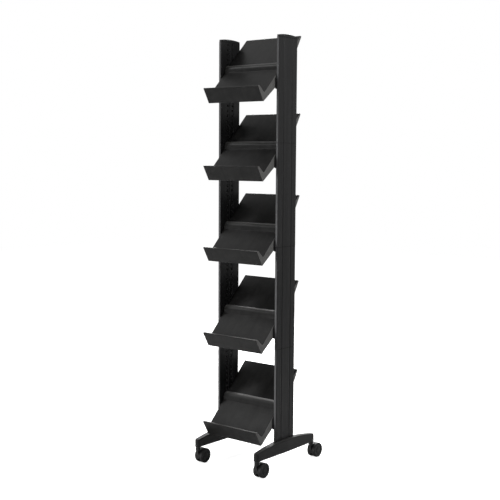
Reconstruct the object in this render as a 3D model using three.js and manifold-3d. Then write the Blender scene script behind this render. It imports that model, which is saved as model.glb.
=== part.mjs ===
// Periodical display rack on casters: two slim uprights of stacked moulded modules, five tilted
// shelves carried on end brackets, and two arched feet with twin-wheel swivel casters.
// Millimetres, +Z up, the front faces -Y. The origin is the middle of the footprint on the floor.

import * as THREE from "three";
import { mergeVertices } from "three/addons/utils/BufferGeometryUtils.js";
import Module from "manifold-3d";

// Fits
const GAP = 0.3; // between faces that meet, and round what sits in a hole
const RUNNING_GAP = 1.2; // beside a wheel that turns

// Uprights
const UPRIGHT_SPAN = 275; // clear width between the inner faces
const UPRIGHT_DEPTH = 116;
const UPRIGHT_THICKNESS = 11;
const UPRIGHT_OUTER_ROUND = 3.5;
const UPRIGHT_INNER_ROUND = 1.5;
const UPRIGHT_BASE = 82; // height of the lowest module's lower end, inside the foot
const MODULE_COUNT = 4;
const FLUTE_OFFSET = 26; // outer face grooves, from the middle of the depth
const FLUTE_WIDTH = 7;
const FLUTE_DEPTH = 2.2;
const CHANNEL_INNER = 2.2; // inner face channels run from here...
const CHANNEL_OUTER = 21; // ...to here, on both sides of a middle rib
const CHANNEL_DEPTH = 1.2;
const HOLES_PER_MODULE = 20;
const HOLE_PITCH = 19.75;
const HOLE_OFFSET = 13.7; // hole columns, from the middle of the depth
const HOLE_WIDTH = 8;
const HOLE_HEIGHT = 10;
const HOLE_DEPTH = 6; // from the bottom of the channel
const TONGUE_OFFSET = 39;
const TONGUE_LENGTH = 16;
const TONGUE_THICKNESS = 5;
const TONGUE_HEIGHT = 8;
const TONGUE_ROOT = 1; // overlap with the piece that carries the tongue

// Top caps
const CAP_EDGE = 7; // height at the front and back
const CAP_CROWN = 4.5; // further height in the middle

// Feet
const FOOT_LENGTH = 374;
const FOOT_CENTRE = 11.5; // middle of the foot, outside the uprights' inner face
const FOOT_HUB_WIDTH = 31;
const FOOT_TIP_WIDTH = 23;
const FOOT_UNDERSIDE = 69;
const FOOT_HUB_TOP = 118;
const FOOT_TIP_TOP = 99;
const FOOT_EDGE_ROUND = 6;
const FOOT_EDGE_STEPS = 3;
const FOOT_STATIONS = 4; // loft sections from the hub to the start of a round tip
const FOOT_TIP_TURNS = [35, 70]; // degrees round the tip of its further sections
const SCREW_SHANK = 5;
const SCREW_HEAD = 11;
const SCREW_HEAD_HEIGHT = 3;
const SCREW_GRIP = 16; // length inside the upright

// Shelves: the profile is drawn from the apex under the trough, (depth, height)
const SHELF_STEPS = [18, 17, 16, 15]; // hole pitches between shelves, from the bottom up
const SHELF_FIRST_ROW = 8; // hole row of the lowest shelf's upper pegs
const SHELF_APEX = 131.5; // apex of the trough, ahead of the middle of the uprights
const SHELF_WALL = 3;
const PANEL_SLOPE = THREE.MathUtils.degToRad(45);
const LIP_HEIGHT = 57.5;
const LIP_LEAN = 33.5;
const LIP_TOP = 11;
const LIP_ROUND = 3;
const LIP_STEPS = 2; // facets on the round edges of the lip
const TROUGH_SETBACK = 4.7; // inner corner of the trough, behind the apex
const TROUGH_HEIGHT = 33;
const TROUGH_ROUND = 7;
const LOWER_PANEL = 126;
const LEDGE_RISE = 29.7;
const LEDGE_TREAD = 25.2;
const LEDGE_NOSE = 22;
const UPPER_PANEL = 155.6;
const TAIL_EDGE = 6;
const KEEL_BEHIND_LEDGE = 37; // deepest point of the end walls
const KEEL_DEPTH = 69;
const KEEL_ROUND = 23;
const KEEL_STEPS = 3;
const RIB_OFFSETS = [-45, 45];
const RIB_THICKNESS = 2.4;

// Brackets between the shelf ends and the uprights
const BRACKET_THICKNESS = 2.6;
const BRACKET_FRONT = 64; // reach ahead of and behind the middle of the uprights
const BRACKET_BACK = 36;
const BRACKET_SINK = 4; // top edge, under the panel
const BRACKET_TOP_BACK = 20;
const BRACKET_FOOT = 50; // lowest edge, above the apex
const BRACKET_HEEL = 46;
const BRACKET_ROUND = 4;
const PEG_DROP = 10.8; // upper pegs, under the panel
const PEG_ROWS = 3; // hole pitches between the two rows of pegs
const PEG_LENGTH = 5; // inside the hole
const LUG_SIZE = 9; // square lugs that carry the shelf ends
const LUG_LENGTH = 6;
const LUG_DROP = 28; // under the panel
const LUG_CENTRE = -15;
const LUG_SPREAD = 25;

// Casters
const WHEEL_DIAMETER = 58;
const WHEEL_WIDTH = 13;
const WHEEL_ROUND = 4;
const WHEEL_DISH = 1.6;
const TRAIL = 28;
const HOOD_THICKNESS = 9; // between the wheels
const HOOD_SINK = 0.5; // inside the rims of the wheels
const HOOD_FROM = THREE.MathUtils.degToRad(15);
const HOOD_TO = THREE.MathUtils.degToRad(200);
const HUB_DIAMETER = 22; // of the hood round the axle
const BOSS_DIAMETER = 19;
const BOSS_DEPTH = 13;
const AXLE_DIAMETER = 6;
const STEM_DIAMETER = 10;
const STEM_IN_FOOT = 20;
const STEM_IN_BOSS = 11;
const COLLAR_DIAMETER = 18;
const COLLAR_HEIGHT = 1.7;

// Worked-out sizes
const INNER_FACE = UPRIGHT_SPAN / 2;
const MODULE_HEIGHT = HOLES_PER_MODULE * HOLE_PITCH;
const UPRIGHT_MIDDLE = INNER_FACE + UPRIGHT_THICKNESS / 2;
const UPRIGHT_TOP = UPRIGHT_BASE + MODULE_COUNT * MODULE_HEIGHT;
const FOOT_X = INNER_FACE + FOOT_CENTRE;
const STEM_Y = FOOT_LENGTH / 2 - FOOT_TIP_WIDTH / 2;
const BRACKET_OUTSIDE = INNER_FACE - GAP;
const BRACKET_INSIDE = BRACKET_OUTSIDE - BRACKET_THICKNESS;
const SHELF_END = BRACKET_INSIDE - GAP;
const WHEEL_RADIUS = WHEEL_DIAMETER / 2;
const WHEEL_INNER = HOOD_THICKNESS / 2 + RUNNING_GAP;
const HOOD_RADIUS = WHEEL_RADIUS - HOOD_SINK;
const COLLAR_TOP = FOOT_UNDERSIDE - GAP;
const BOSS_TOP = COLLAR_TOP - COLLAR_HEIGHT - GAP;
const BOSS_BOTTOM = BOSS_TOP - BOSS_DEPTH;

// Facets
const FACET_EASE = 4; // easing of a corner for each facet there
const WHEEL_SIDES = 16;
const ROUND_SIDES = 14;
const SMALL_SIDES = 8;
const CURVE_SEGMENTS = 8;

const wasm = await Module();
wasm.setup();

/** A closed geometry as a solid for joining and cutting. */
function solid(geometry) {
  const bare = new THREE.BufferGeometry();
  bare.setAttribute("position", geometry.getAttribute("position"));
  bare.setIndex(geometry.getIndex());
  const merged = mergeVertices(bare, 1e-4);
  return new wasm.Manifold(
    new wasm.Mesh({
      numProp: 3,
      vertProperties: new Float32Array(merged.getAttribute("position").array),
      triVerts: new Uint32Array(merged.getIndex().array),
    }),
  );
}

/** The geometry of a solid, with flat normals. */
function geometryOf(body) {
  const mesh = body.getMesh();
  const geometry = new THREE.BufferGeometry();
  geometry.setAttribute("position", new THREE.BufferAttribute(mesh.vertProperties, 3));
  geometry.setIndex(new THREE.BufferAttribute(mesh.triVerts, 1));
  const flat = geometry.toNonIndexed();
  flat.computeVertexNormals();
  return flat;
}

const join = (bodies) => bodies.reduce((whole, body) => whole.add(body));
const cut = (body, tools) => tools.reduce((rest, tool) => rest.subtract(tool), body);

/**
 * A closed outline from corners [u, v, ease, steps]. Ease is the length taken off both edges to
 * round a corner, and steps the number of facets there.
 */
function outline(corners) {
  const points = corners.flatMap(([u, v, ease = 0, steps = Math.ceil(ease / FACET_EASE)], i) => {
    const corner = new THREE.Vector2(u, v);
    if (ease === 0) return [corner];
    const towards = ([x, y]) => new THREE.Vector2(x, y).sub(corner).setLength(ease).add(corner);
    const end = towards(corners[(i + 1) % corners.length]);
    const arc = new THREE.QuadraticBezierCurve(towards(corners.at(i - 1)), corner, end);
    return arc.getPoints(steps);
  });
  return new THREE.Shape(points);
}

const extrude = (shape, depth) =>
  new THREE.ExtrudeGeometry(shape, { depth, bevelEnabled: false, curveSegments: CURVE_SEGMENTS });

/** A plan outline (x, y) raised from one height to another. */
const raised = (shape, from, to) => solid(extrude(shape, to - from).translate(0, 0, from));

// Takes a drawn profile (depth, height) and its extrusion to Y, Z and X.
const ACROSS = new THREE.Matrix4().makeBasis(
  new THREE.Vector3(0, 1, 0),
  new THREE.Vector3(0, 0, 1),
  new THREE.Vector3(1, 0, 0),
);

/** A side profile (depth, height) run across the rack from one X to another. */
const across = (shape, from, to) =>
  solid(extrude(shape, to - from).applyMatrix4(ACROSS).translate(from, 0, 0));

/** A box given by its sizes and its middle. */
const box = (size, middle) => solid(new THREE.BoxGeometry(...size).translate(...middle));

/** An upright cylinder between two heights. */
const post = (diameter, x, y, from, to, sides = SMALL_SIDES) =>
  solid(
    new THREE.CylinderGeometry(diameter / 2, diameter / 2, to - from, sides)
      .rotateX(Math.PI / 2)
      .translate(x, y, (from + to) / 2),
  );

/** A cylinder along X between two places. */
const bar = (diameter, from, to, y, z, sides = SMALL_SIDES) =>
  solid(
    new THREE.CylinderGeometry(diameter / 2, diameter / 2, to - from, sides)
      .rotateZ(Math.PI / 2)
      .translate((from + to) / 2, y, z),
  );

/** Diameter of a faceted bore whose flats clear a pin at any turn. */
const boreFor = (diameter, sides = SMALL_SIDES) => (diameter + 2 * GAP) / Math.cos(Math.PI / sides);

/** A turned piece from [radius, along] points that start and end on the axis; the axis is Z. */
const turned = (points, sides = SMALL_SIDES) =>
  new THREE.LatheGeometry(points.map(([radius, along]) => new THREE.Vector2(radius, along)), sides)
    .rotateX(Math.PI / 2);

/** A closed skin through rings of equally many points, with a flat cap at each end. */
function loft(rings) {
  const count = rings[0].length;
  const faces = [];
  for (let r = 0; r + 1 < rings.length; r++) {
    for (let i = 0; i < count; i++) {
      const next = (i + 1) % count;
      const [a, b] = [r * count + i, r * count + next];
      faces.push(a, b + count, b, a, a + count, b + count);
    }
  }
  const last = (rings.length - 1) * count;
  for (let i = 1; i + 1 < count; i++) {
    faces.push(0, i, i + 1, last, last + i + 1, last + i);
  }
  const geometry = new THREE.BufferGeometry().setFromPoints(rings.flat());
  geometry.setIndex(faces);
  return geometry;
}

// Uprights

/** Section of an upright, x from its inner face outwards, grown all round by a clearance. */
function plainSection(grow = 0) {
  const half = UPRIGHT_DEPTH / 2 + grow;
  const outside = UPRIGHT_THICKNESS + grow;
  return outline([
    [-grow, -half, UPRIGHT_INNER_ROUND],
    [outside, -half, UPRIGHT_OUTER_ROUND],
    [outside, half, UPRIGHT_OUTER_ROUND],
    [-grow, half, UPRIGHT_INNER_ROUND],
  ]);
}

/** Section of a module: two flutes outside, two channels with a rib between them inside. */
function fluteSection() {
  const half = UPRIGHT_DEPTH / 2;
  const flute = (middle) => [
    [UPRIGHT_THICKNESS, middle - FLUTE_WIDTH / 2],
    [UPRIGHT_THICKNESS - FLUTE_DEPTH, middle, FLUTE_WIDTH / 4],
    [UPRIGHT_THICKNESS, middle + FLUTE_WIDTH / 2],
  ];
  const channel = (from, to) => [
    [0, from],
    [CHANNEL_DEPTH, from],
    [CHANNEL_DEPTH, to],
    [0, to],
  ];
  return outline([
    [0, -half, UPRIGHT_INNER_ROUND],
    [UPRIGHT_THICKNESS, -half, UPRIGHT_OUTER_ROUND],
    ...flute(-FLUTE_OFFSET),
    ...flute(FLUTE_OFFSET),
    [UPRIGHT_THICKNESS, half, UPRIGHT_OUTER_ROUND],
    [0, half, UPRIGHT_INNER_ROUND],
    ...channel(CHANNEL_OUTER, CHANNEL_INNER),
    ...channel(-CHANNEL_INNER, -CHANNEL_OUTER),
  ]);
}

/** The two tongues below a face that lock a piece to the one under it, or their sockets. */
function tongues(face, clearance = 0) {
  const height = TONGUE_HEIGHT + clearance + TONGUE_ROOT;
  const size = [TONGUE_THICKNESS + 2 * clearance, TONGUE_LENGTH + 2 * clearance, height];
  return [-TONGUE_OFFSET, TONGUE_OFFSET].map((y) =>
    box(size, [UPRIGHT_THICKNESS / 2, y, face + TONGUE_ROOT - height / 2]),
  );
}

/** One module, from its lower end at z = 0; x runs outwards from its inner face. */
function moduleGeometry() {
  const holes = [];
  for (let row = 0; row < HOLES_PER_MODULE; row++) {
    for (const y of [-HOLE_OFFSET, HOLE_OFFSET]) {
      const depth = CHANNEL_DEPTH + HOLE_DEPTH;
      holes.push(
        box([2 * depth, HOLE_WIDTH, HOLE_HEIGHT], [0, y, (row + 0.5) * HOLE_PITCH]),
      );
    }
  }
  const screwBore = post(
    SCREW_SHANK + 2 * GAP, UPRIGHT_THICKNESS / 2, 0, -1, SCREW_GRIP + GAP,
  );
  const body = join([raised(fluteSection(), 0, MODULE_HEIGHT - GAP), ...tongues(0)]);
  return geometryOf(cut(body, [...holes, ...tongues(MODULE_HEIGHT, GAP), screwBore]));
}

/** The crowned cap on the top module, from its lower face at z = 0. */
function capGeometry() {
  const half = UPRIGHT_DEPTH / 2;
  const height = CAP_EDGE + CAP_CROWN;
  const crown = new THREE.Shape();
  crown.moveTo(-half, 0);
  crown.lineTo(half, 0);
  crown.lineTo(half, CAP_EDGE);
  crown.quadraticCurveTo(0, CAP_EDGE + 2 * CAP_CROWN, -half, CAP_EDGE);
  const arched = across(crown, 0, UPRIGHT_THICKNESS);
  const body = raised(plainSection(), 0, height).intersect(arched);
  return geometryOf(join([body, ...tongues(0)]));
}

// Feet

/** Half width of a foot at a distance from its middle: straight taper, then a round tip. */
function footHalfWidth(y) {
  const tip = FOOT_TIP_WIDTH / 2;
  const past = y - STEM_Y;
  if (past > 0) return Math.sqrt(Math.max(tip * tip - past * past, 0));
  return THREE.MathUtils.lerp(FOOT_HUB_WIDTH / 2, tip, y / STEM_Y);
}

/** Top of a foot at a distance from its middle: one low arch. */
const footTop = (y) => FOOT_HUB_TOP - (FOOT_HUB_TOP - FOOT_TIP_TOP) * (2 * y / FOOT_LENGTH) ** 2;

/** Section of a foot across its length, flat below and rounded above. */
function footRing(y) {
  const half = footHalfWidth(Math.abs(y));
  const top = footTop(y);
  const ease = Math.min(FOOT_EDGE_ROUND, 0.9 * half);
  const ring = outline([
    [-half, FOOT_UNDERSIDE],
    [half, FOOT_UNDERSIDE],
    [half, top, ease, FOOT_EDGE_STEPS],
    [-half, top, ease, FOOT_EDGE_STEPS],
  ]).getPoints();
  return ring.map((p) => new THREE.Vector3(p.x, y, p.y));
}

/** A foot about x = 0, with the pocket for its upright and the bores for screw and stems. */
function footGeometry() {
  const stations = [];
  for (let i = 0; i < FOOT_STATIONS; i++) stations.push((STEM_Y * i) / (FOOT_STATIONS - 1));
  for (const turn of FOOT_TIP_TURNS) {
    stations.push(STEM_Y + (FOOT_TIP_WIDTH / 2) * Math.sin(THREE.MathUtils.degToRad(turn)));
  }
  const mirrored = stations.slice(1).reverse().map((y) => -y);
  const arm = solid(loft([...mirrored, ...stations].map(footRing)));
  const pocketFloor = UPRIGHT_BASE - GAP;
  const pocket = raised(plainSection(GAP), pocketFloor, FOOT_HUB_TOP + 1).translate(-FOOT_CENTRE, 0, 0);
  const screwX = UPRIGHT_THICKNESS / 2 - FOOT_CENTRE;
  const screwBore = post(SCREW_SHANK + 2 * GAP, screwX, 0, FOOT_UNDERSIDE - 1, pocketFloor + 1);
  const screwRecess = post(
    SCREW_HEAD + 2 * GAP, screwX, 0, FOOT_UNDERSIDE - 1, FOOT_UNDERSIDE + SCREW_HEAD_HEIGHT + 2 * GAP,
  );
  const stemBores = [-STEM_Y, STEM_Y].map((y) =>
    post(STEM_DIAMETER + 2 * GAP, 0, y, FOOT_UNDERSIDE - 1, FOOT_UNDERSIDE + STEM_IN_FOOT + GAP),
  );
  const sockets = tongues(UPRIGHT_BASE, GAP).map((socket) => socket.translate(-FOOT_CENTRE, 0, 0));
  return geometryOf(cut(arm, [pocket, ...sockets, screwBore, screwRecess, ...stemBores]));
}

/** The screw that holds an upright down in its foot, standing on z = 0 at its head. */
function screwGeometry() {
  const head = SCREW_HEAD / 2;
  const shank = SCREW_SHANK / 2;
  const length = UPRIGHT_BASE + SCREW_GRIP - FOOT_UNDERSIDE - GAP;
  return turned([
    [0, 0],
    [head, 0],
    [head, SCREW_HEAD_HEIGHT],
    [shank, SCREW_HEAD_HEIGHT],
    [shank, length - shank],
    [0, length],
  ]);
}

// Shelves

const RISE = Math.tan(PANEL_SLOPE);
const trough = { y: TROUGH_SETBACK, z: TROUGH_HEIGHT };
const ledgeFoot = {
  y: trough.y + LOWER_PANEL * Math.cos(PANEL_SLOPE),
  z: trough.z + LOWER_PANEL * Math.sin(PANEL_SLOPE),
};
const ledgeBack = { y: ledgeFoot.y + LEDGE_TREAD, z: ledgeFoot.z + LEDGE_RISE };
const tail = {
  y: ledgeBack.y + UPPER_PANEL * Math.cos(PANEL_SLOPE),
  z: ledgeBack.z + UPPER_PANEL * Math.sin(PANEL_SLOPE),
};
const keel = {
  y: ledgeBack.y + KEEL_BEHIND_LEDGE,
  z: ledgeBack.z + KEEL_BEHIND_LEDGE * RISE - KEEL_DEPTH,
};

/** Height of the lower panel's plane over the apex, at a depth behind it. */
const panelHeight = (y) => trough.z + (y - trough.y) * RISE;

/** Side outline of a shelf: lip, trough, lower panel, ledge, upper panel and deep end walls. */
const shelfOutline = () =>
  outline([
    [0, 0, LIP_ROUND, LIP_STEPS],
    [-LIP_LEAN, LIP_HEIGHT, LIP_ROUND, LIP_STEPS],
    [-LIP_LEAN + LIP_TOP, LIP_HEIGHT, LIP_ROUND, LIP_STEPS],
    [trough.y, trough.z, TROUGH_ROUND],
    [ledgeFoot.y, ledgeFoot.z, LIP_ROUND],
    [ledgeFoot.y, ledgeBack.z, LEDGE_NOSE],
    [ledgeBack.y, ledgeBack.z, LIP_ROUND],
    [tail.y, tail.z, LIP_ROUND],
    [tail.y + TAIL_EDGE * Math.sin(PANEL_SLOPE), tail.z - TAIL_EDGE * Math.cos(PANEL_SLOPE), LIP_ROUND],
    [keel.y, keel.z, KEEL_ROUND, KEEL_STEPS],
  ]);

/** Outline of the space under a shelf's skin, which stays open below. */
function hollowOutline() {
  const drop = SHELF_WALL / Math.cos(PANEL_SLOPE);
  const lipSlope = LIP_LEAN / LIP_HEIGHT;
  const shift = SHELF_WALL * Math.hypot(1, lipSlope);
  const lipFront = (z) => shift - z * lipSlope;
  const lipCeiling = LIP_HEIGHT - 2.5 * SHELF_WALL;
  const lipRun = (trough.y + LIP_LEAN - LIP_TOP) / (LIP_HEIGHT - trough.z);
  const lipBack = (z) => trough.y - (z - trough.z) * lipRun - SHELF_WALL * Math.hypot(1, lipRun);
  const under = -LIP_HEIGHT;
  return outline([
    [lipFront(under), under],
    [lipFront(lipCeiling), lipCeiling],
    [lipBack(lipCeiling), lipCeiling],
    [trough.y, trough.z - drop, TROUGH_ROUND / 2],
    [ledgeFoot.y + SHELF_WALL, ledgeFoot.z + SHELF_WALL * RISE - drop],
    [ledgeFoot.y + SHELF_WALL, ledgeBack.z - SHELF_WALL, LEDGE_NOSE - SHELF_WALL],
    [ledgeBack.y + drop - SHELF_WALL, ledgeBack.z - SHELF_WALL],
    [tail.y - SHELF_WALL, tail.z - SHELF_WALL * RISE - drop],
    [tail.y + KEEL_DEPTH, tail.z - drop],
    [tail.y + KEEL_DEPTH, under],
  ]);
}

/** A shelf about x = 0 with the apex of its trough on the X axis. */
function shelfGeometry() {
  const inside = SHELF_END - SHELF_WALL;
  const edges = [-inside, ...RIB_OFFSETS, inside];
  const hollow = hollowOutline();
  const bays = edges.slice(1).map((to, i) => {
    const from = edges[i];
    const trim = (edge) => (Math.abs(edge) === inside ? 0 : RIB_THICKNESS / 2);
    return across(hollow, from + trim(from), to - trim(to));
  });
  const socket = LUG_SIZE + 2 * GAP;
  const sockets = lugPlaces().flatMap(({ y, z }) =>
    [-SHELF_END, SHELF_END].map((x) => box([3 * SHELF_WALL, socket, socket], [x, y, z])),
  );
  return geometryOf(cut(across(shelfOutline(), -SHELF_END, SHELF_END), [...bays, ...sockets]));
}

// Brackets

/** Depth behind the apex of a place that is given from the middle of the uprights. */
const behindApex = (y) => y + SHELF_APEX;

/** Places of the two lugs that carry a shelf end, from the apex of its trough. */
function lugPlaces() {
  return [-LUG_SPREAD, LUG_SPREAD].map((offset) => {
    const y = behindApex(LUG_CENTRE + offset);
    return { y, z: panelHeight(y) - LUG_DROP };
  });
}

/** Height of the upper pegs over the apex. */
const PEG_HEIGHT = panelHeight(behindApex(-HOLE_OFFSET)) - PEG_DROP;

/** The right-hand bracket, from the apex of its shelf's trough. */
function bracketGeometry() {
  const top = (y) => panelHeight(y) - BRACKET_SINK;
  const front = behindApex(-BRACKET_FRONT);
  const back = behindApex(BRACKET_BACK);
  const topBack = behindApex(BRACKET_TOP_BACK);
  const plate = across(
    outline([
      [front, BRACKET_FOOT, BRACKET_ROUND],
      [front, top(front), BRACKET_ROUND],
      [topBack, top(topBack), BRACKET_ROUND],
      [back, top(topBack), BRACKET_ROUND],
      [back, PEG_HEIGHT - PEG_ROWS * HOLE_PITCH - HOLE_HEIGHT, BRACKET_ROUND],
      [behindApex(-BRACKET_HEEL), BRACKET_FOOT, BRACKET_ROUND],
    ]),
    BRACKET_INSIDE,
    BRACKET_OUTSIDE,
  );
  const reach = GAP + CHANNEL_DEPTH + PEG_LENGTH;
  const pegs = [0, PEG_ROWS].flatMap((rows) =>
    [-HOLE_OFFSET, HOLE_OFFSET].map((y) =>
      box(
        [reach + BRACKET_THICKNESS, HOLE_WIDTH - 2 * GAP, HOLE_HEIGHT - 2 * GAP],
        [(BRACKET_INSIDE + BRACKET_OUTSIDE + reach) / 2, behindApex(y), PEG_HEIGHT - rows * HOLE_PITCH],
      ),
    ),
  );
  const lugs = lugPlaces().map(({ y, z }) =>
    box(
      [LUG_LENGTH + BRACKET_THICKNESS, LUG_SIZE, LUG_SIZE],
      [(BRACKET_INSIDE - LUG_LENGTH + BRACKET_OUTSIDE) / 2, y, z],
    ),
  );
  return geometryOf(join([plate, ...pegs, ...lugs]));
}

// Casters: built about the stem's axis, standing on z = 0, with the wheels trailing to +Y

/** The hood between the wheels and the stem boss of a caster in one moulding. */
function casterBodyGeometry() {
  const half = HOOD_THICKNESS / 2;
  const fan = new THREE.Shape();
  fan.moveTo(TRAIL, WHEEL_RADIUS);
  fan.absarc(TRAIL, WHEEL_RADIUS, HOOD_RADIUS, HOOD_FROM, HOOD_TO);
  fan.closePath();
  const gusset = outline([
    [-BOSS_DIAMETER / 2, BOSS_BOTTOM + 1],
    [0, WHEEL_RADIUS],
    [TRAIL, WHEEL_RADIUS],
    [TRAIL, BOSS_BOTTOM + 1],
  ]);
  const hub = bar(HUB_DIAMETER, -half, half, TRAIL, WHEEL_RADIUS, ROUND_SIDES);
  const boss = post(BOSS_DIAMETER, 0, 0, BOSS_BOTTOM, BOSS_TOP, ROUND_SIDES);
  const stemBore = post(boreFor(STEM_DIAMETER), 0, 0, BOSS_TOP - STEM_IN_BOSS - GAP, BOSS_TOP + 1);
  const axleBore = bar(boreFor(AXLE_DIAMETER), -2 * half, 2 * half, TRAIL, WHEEL_RADIUS);
  const plates = [fan, gusset].map((shape) => across(shape, -half, half));
  return geometryOf(cut(join([...plates, hub, boss]), [stemBore, axleBore]));
}

/** The stem, fast in the foot, on whose lower end the caster body turns. */
function stemGeometry() {
  const radius = STEM_DIAMETER / 2;
  const top = FOOT_UNDERSIDE + STEM_IN_FOOT;
  return turned([
    [0, BOSS_TOP - STEM_IN_BOSS],
    [radius, BOSS_TOP - STEM_IN_BOSS],
    [radius, COLLAR_TOP - COLLAR_HEIGHT],
    [COLLAR_DIAMETER / 2, COLLAR_TOP - COLLAR_HEIGHT],
    [COLLAR_DIAMETER / 2, COLLAR_TOP],
    [radius, COLLAR_TOP],
    [radius, top],
    [0, top],
  ]);
}

/** A wheel on its axle line with its inner side at x = 0, towards +X. */
function wheelGeometry() {
  const bore = boreFor(AXLE_DIAMETER, WHEEL_SIDES) / 2;
  const rimEdge = WHEEL_RADIUS - WHEEL_ROUND;
  const shoulder = WHEEL_ROUND * Math.SQRT1_2;
  const inset = WHEEL_ROUND - shoulder;
  const wheel = turned(
    [
      [0, WHEEL_WIDTH - WHEEL_DISH],
      [rimEdge - WHEEL_DISH, WHEEL_WIDTH - WHEEL_DISH],
      [rimEdge, WHEEL_WIDTH],
      [rimEdge + shoulder, WHEEL_WIDTH - inset],
      [WHEEL_RADIUS, WHEEL_WIDTH - WHEEL_ROUND],
      [WHEEL_RADIUS, 0],
      [bore, 0],
      [bore, WHEEL_WIDTH - 3 * WHEEL_DISH],
      [0, WHEEL_WIDTH - 3 * WHEEL_DISH],
    ].reverse(),
    WHEEL_SIDES,
  );
  return wheel.rotateY(Math.PI / 2);
}

/** The axle pin that both wheels of a caster turn on. */
function axleGeometry() {
  const end = WHEEL_INNER + WHEEL_WIDTH - 3 * WHEEL_DISH - GAP;
  return new THREE.CylinderGeometry(AXLE_DIAMETER / 2, AXLE_DIAMETER / 2, 2 * end, SMALL_SIDES)
    .rotateZ(Math.PI / 2);
}

// Assembly

const FINISHES = {
  upright: { color: 0x2a2a2b, roughness: 0.55, metalness: 0 },
  shelf: { color: 0x2e2e2e, roughness: 0.5, metalness: 0 },
  bracket: { color: 0x1c1c1d, roughness: 0.6, metalness: 0 },
  foot: { color: 0x29292a, roughness: 0.5, metalness: 0 },
  caster: { color: 0x18181a, roughness: 0.45, metalness: 0 },
  wheel: { color: 0x131314, roughness: 0.6, metalness: 0 },
  steel: { color: 0x9a9a98, roughness: 0.35, metalness: 1 },
};

/** A named mesh with a material of its own. */
function piece(name, geometry, finish, x = 0, y = 0, z = 0) {
  const mesh = new THREE.Mesh(geometry, new THREE.MeshStandardMaterial(FINISHES[finish]));
  mesh.name = name;
  mesh.position.set(x, y, z);
  return mesh;
}

const shapes = {
  module: moduleGeometry(),
  cap: capGeometry(),
  foot: footGeometry(),
  screw: screwGeometry(),
  shelf: shelfGeometry(),
  bracket: bracketGeometry(),
  casterBody: casterBodyGeometry(),
  stem: stemGeometry(),
  wheel: wheelGeometry(),
  axle: axleGeometry(),
};

/** Heights of the apex of each shelf's trough, from the bottom up. */
const shelfHeights = [0, ...SHELF_STEPS].map((_, i) => {
  const row = SHELF_STEPS.slice(0, i).reduce((sum, step) => sum + step, SHELF_FIRST_ROW);
  return UPRIGHT_BASE + (row + 0.5) * HOLE_PITCH - PEG_HEIGHT;
});

/** One caster with its stem, about the stem's axis. */
function caster(name) {
  const group = new THREE.Group();
  const outerWheel = piece(`${name}_outer_wheel`, shapes.wheel, "wheel", WHEEL_INNER, TRAIL, WHEEL_RADIUS);
  const innerWheel = piece(`${name}_inner_wheel`, shapes.wheel, "wheel", -WHEEL_INNER, TRAIL, WHEEL_RADIUS);
  innerWheel.rotation.z = Math.PI;
  group.add(
    piece(`${name}_stem`, shapes.stem, "steel"),
    piece(`${name}_body`, shapes.casterBody, "caster"),
    piece(`${name}_axle`, shapes.axle, "steel", 0, TRAIL, WHEEL_RADIUS),
    outerWheel,
    innerWheel,
  );
  return group;
}

/** Everything on one side of the rack, drawn on the right and mirrored for the left. */
function sideAssembly(side, mirror) {
  const group = new THREE.Group();
  group.scale.x = mirror;
  for (let i = 0; i < MODULE_COUNT; i++) {
    const z = UPRIGHT_BASE + i * MODULE_HEIGHT;
    group.add(piece(`${side}_upright_module_${i + 1}`, shapes.module, "upright", INNER_FACE, 0, z));
  }
  group.add(
    piece(`${side}_upright_cap`, shapes.cap, "upright", INNER_FACE, 0, UPRIGHT_TOP),
    piece(`${side}_foot`, shapes.foot, "foot", FOOT_X),
    piece(`${side}_foot_screw`, shapes.screw, "steel", UPRIGHT_MIDDLE, 0, FOOT_UNDERSIDE + GAP),
  );
  shelfHeights.forEach((z, i) =>
    group.add(piece(`${side}_bracket_${i + 1}`, shapes.bracket, "bracket", 0, -SHELF_APEX, z)),
  );
  for (const [end, y] of [["front", -STEM_Y], ["rear", STEM_Y]]) {
    const unit = caster(`${end}_${side}_caster`);
    unit.position.set(FOOT_X, y, 0);
    group.add(unit);
  }
  return group;
}

const rack = new THREE.Group();
rack.add(sideAssembly("left", -1), sideAssembly("right", 1));
shelfHeights.forEach((z, i) =>
  rack.add(piece(`shelf_${i + 1}`, shapes.shelf, "shelf", 0, -SHELF_APEX, z)),
);
const footprint = new THREE.Box3().setFromObject(rack).getCenter(new THREE.Vector3());
rack.position.y = -footprint.y;

const part = new THREE.Group();
part.name = "periodical_display_rack";
part.add(rack);

export default part;
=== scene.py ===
"""Looks of the periodical display rack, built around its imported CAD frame.

Every size is in metres, in the frame of the CAD model: +Z up, the front faces -Y.
"""

import logging
import math
from collections.abc import Callable, Iterable, Sequence
from dataclasses import dataclass, replace
from enum import Enum

import bmesh
import bpy
from mathutils import Matrix, Vector


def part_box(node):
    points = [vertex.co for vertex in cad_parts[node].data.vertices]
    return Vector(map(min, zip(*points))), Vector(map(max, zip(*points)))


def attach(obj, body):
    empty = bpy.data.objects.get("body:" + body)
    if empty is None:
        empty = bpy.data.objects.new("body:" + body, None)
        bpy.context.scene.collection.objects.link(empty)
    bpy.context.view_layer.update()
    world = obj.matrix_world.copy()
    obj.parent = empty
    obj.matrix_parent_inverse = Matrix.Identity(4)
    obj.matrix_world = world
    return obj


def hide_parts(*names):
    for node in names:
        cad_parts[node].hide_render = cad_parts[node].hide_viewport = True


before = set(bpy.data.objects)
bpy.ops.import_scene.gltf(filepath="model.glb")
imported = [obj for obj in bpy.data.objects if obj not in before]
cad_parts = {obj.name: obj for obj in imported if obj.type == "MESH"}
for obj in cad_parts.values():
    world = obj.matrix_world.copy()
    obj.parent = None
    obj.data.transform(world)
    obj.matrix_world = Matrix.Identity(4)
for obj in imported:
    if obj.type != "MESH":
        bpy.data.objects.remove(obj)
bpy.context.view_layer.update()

LOG = logging.getLogger("rack")
RACK_BODY = "rack"
# Attribute that marks the ledge nose for its painted highlight.
LEDGE_HIGHLIGHT = "ledge_highlight"

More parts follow.
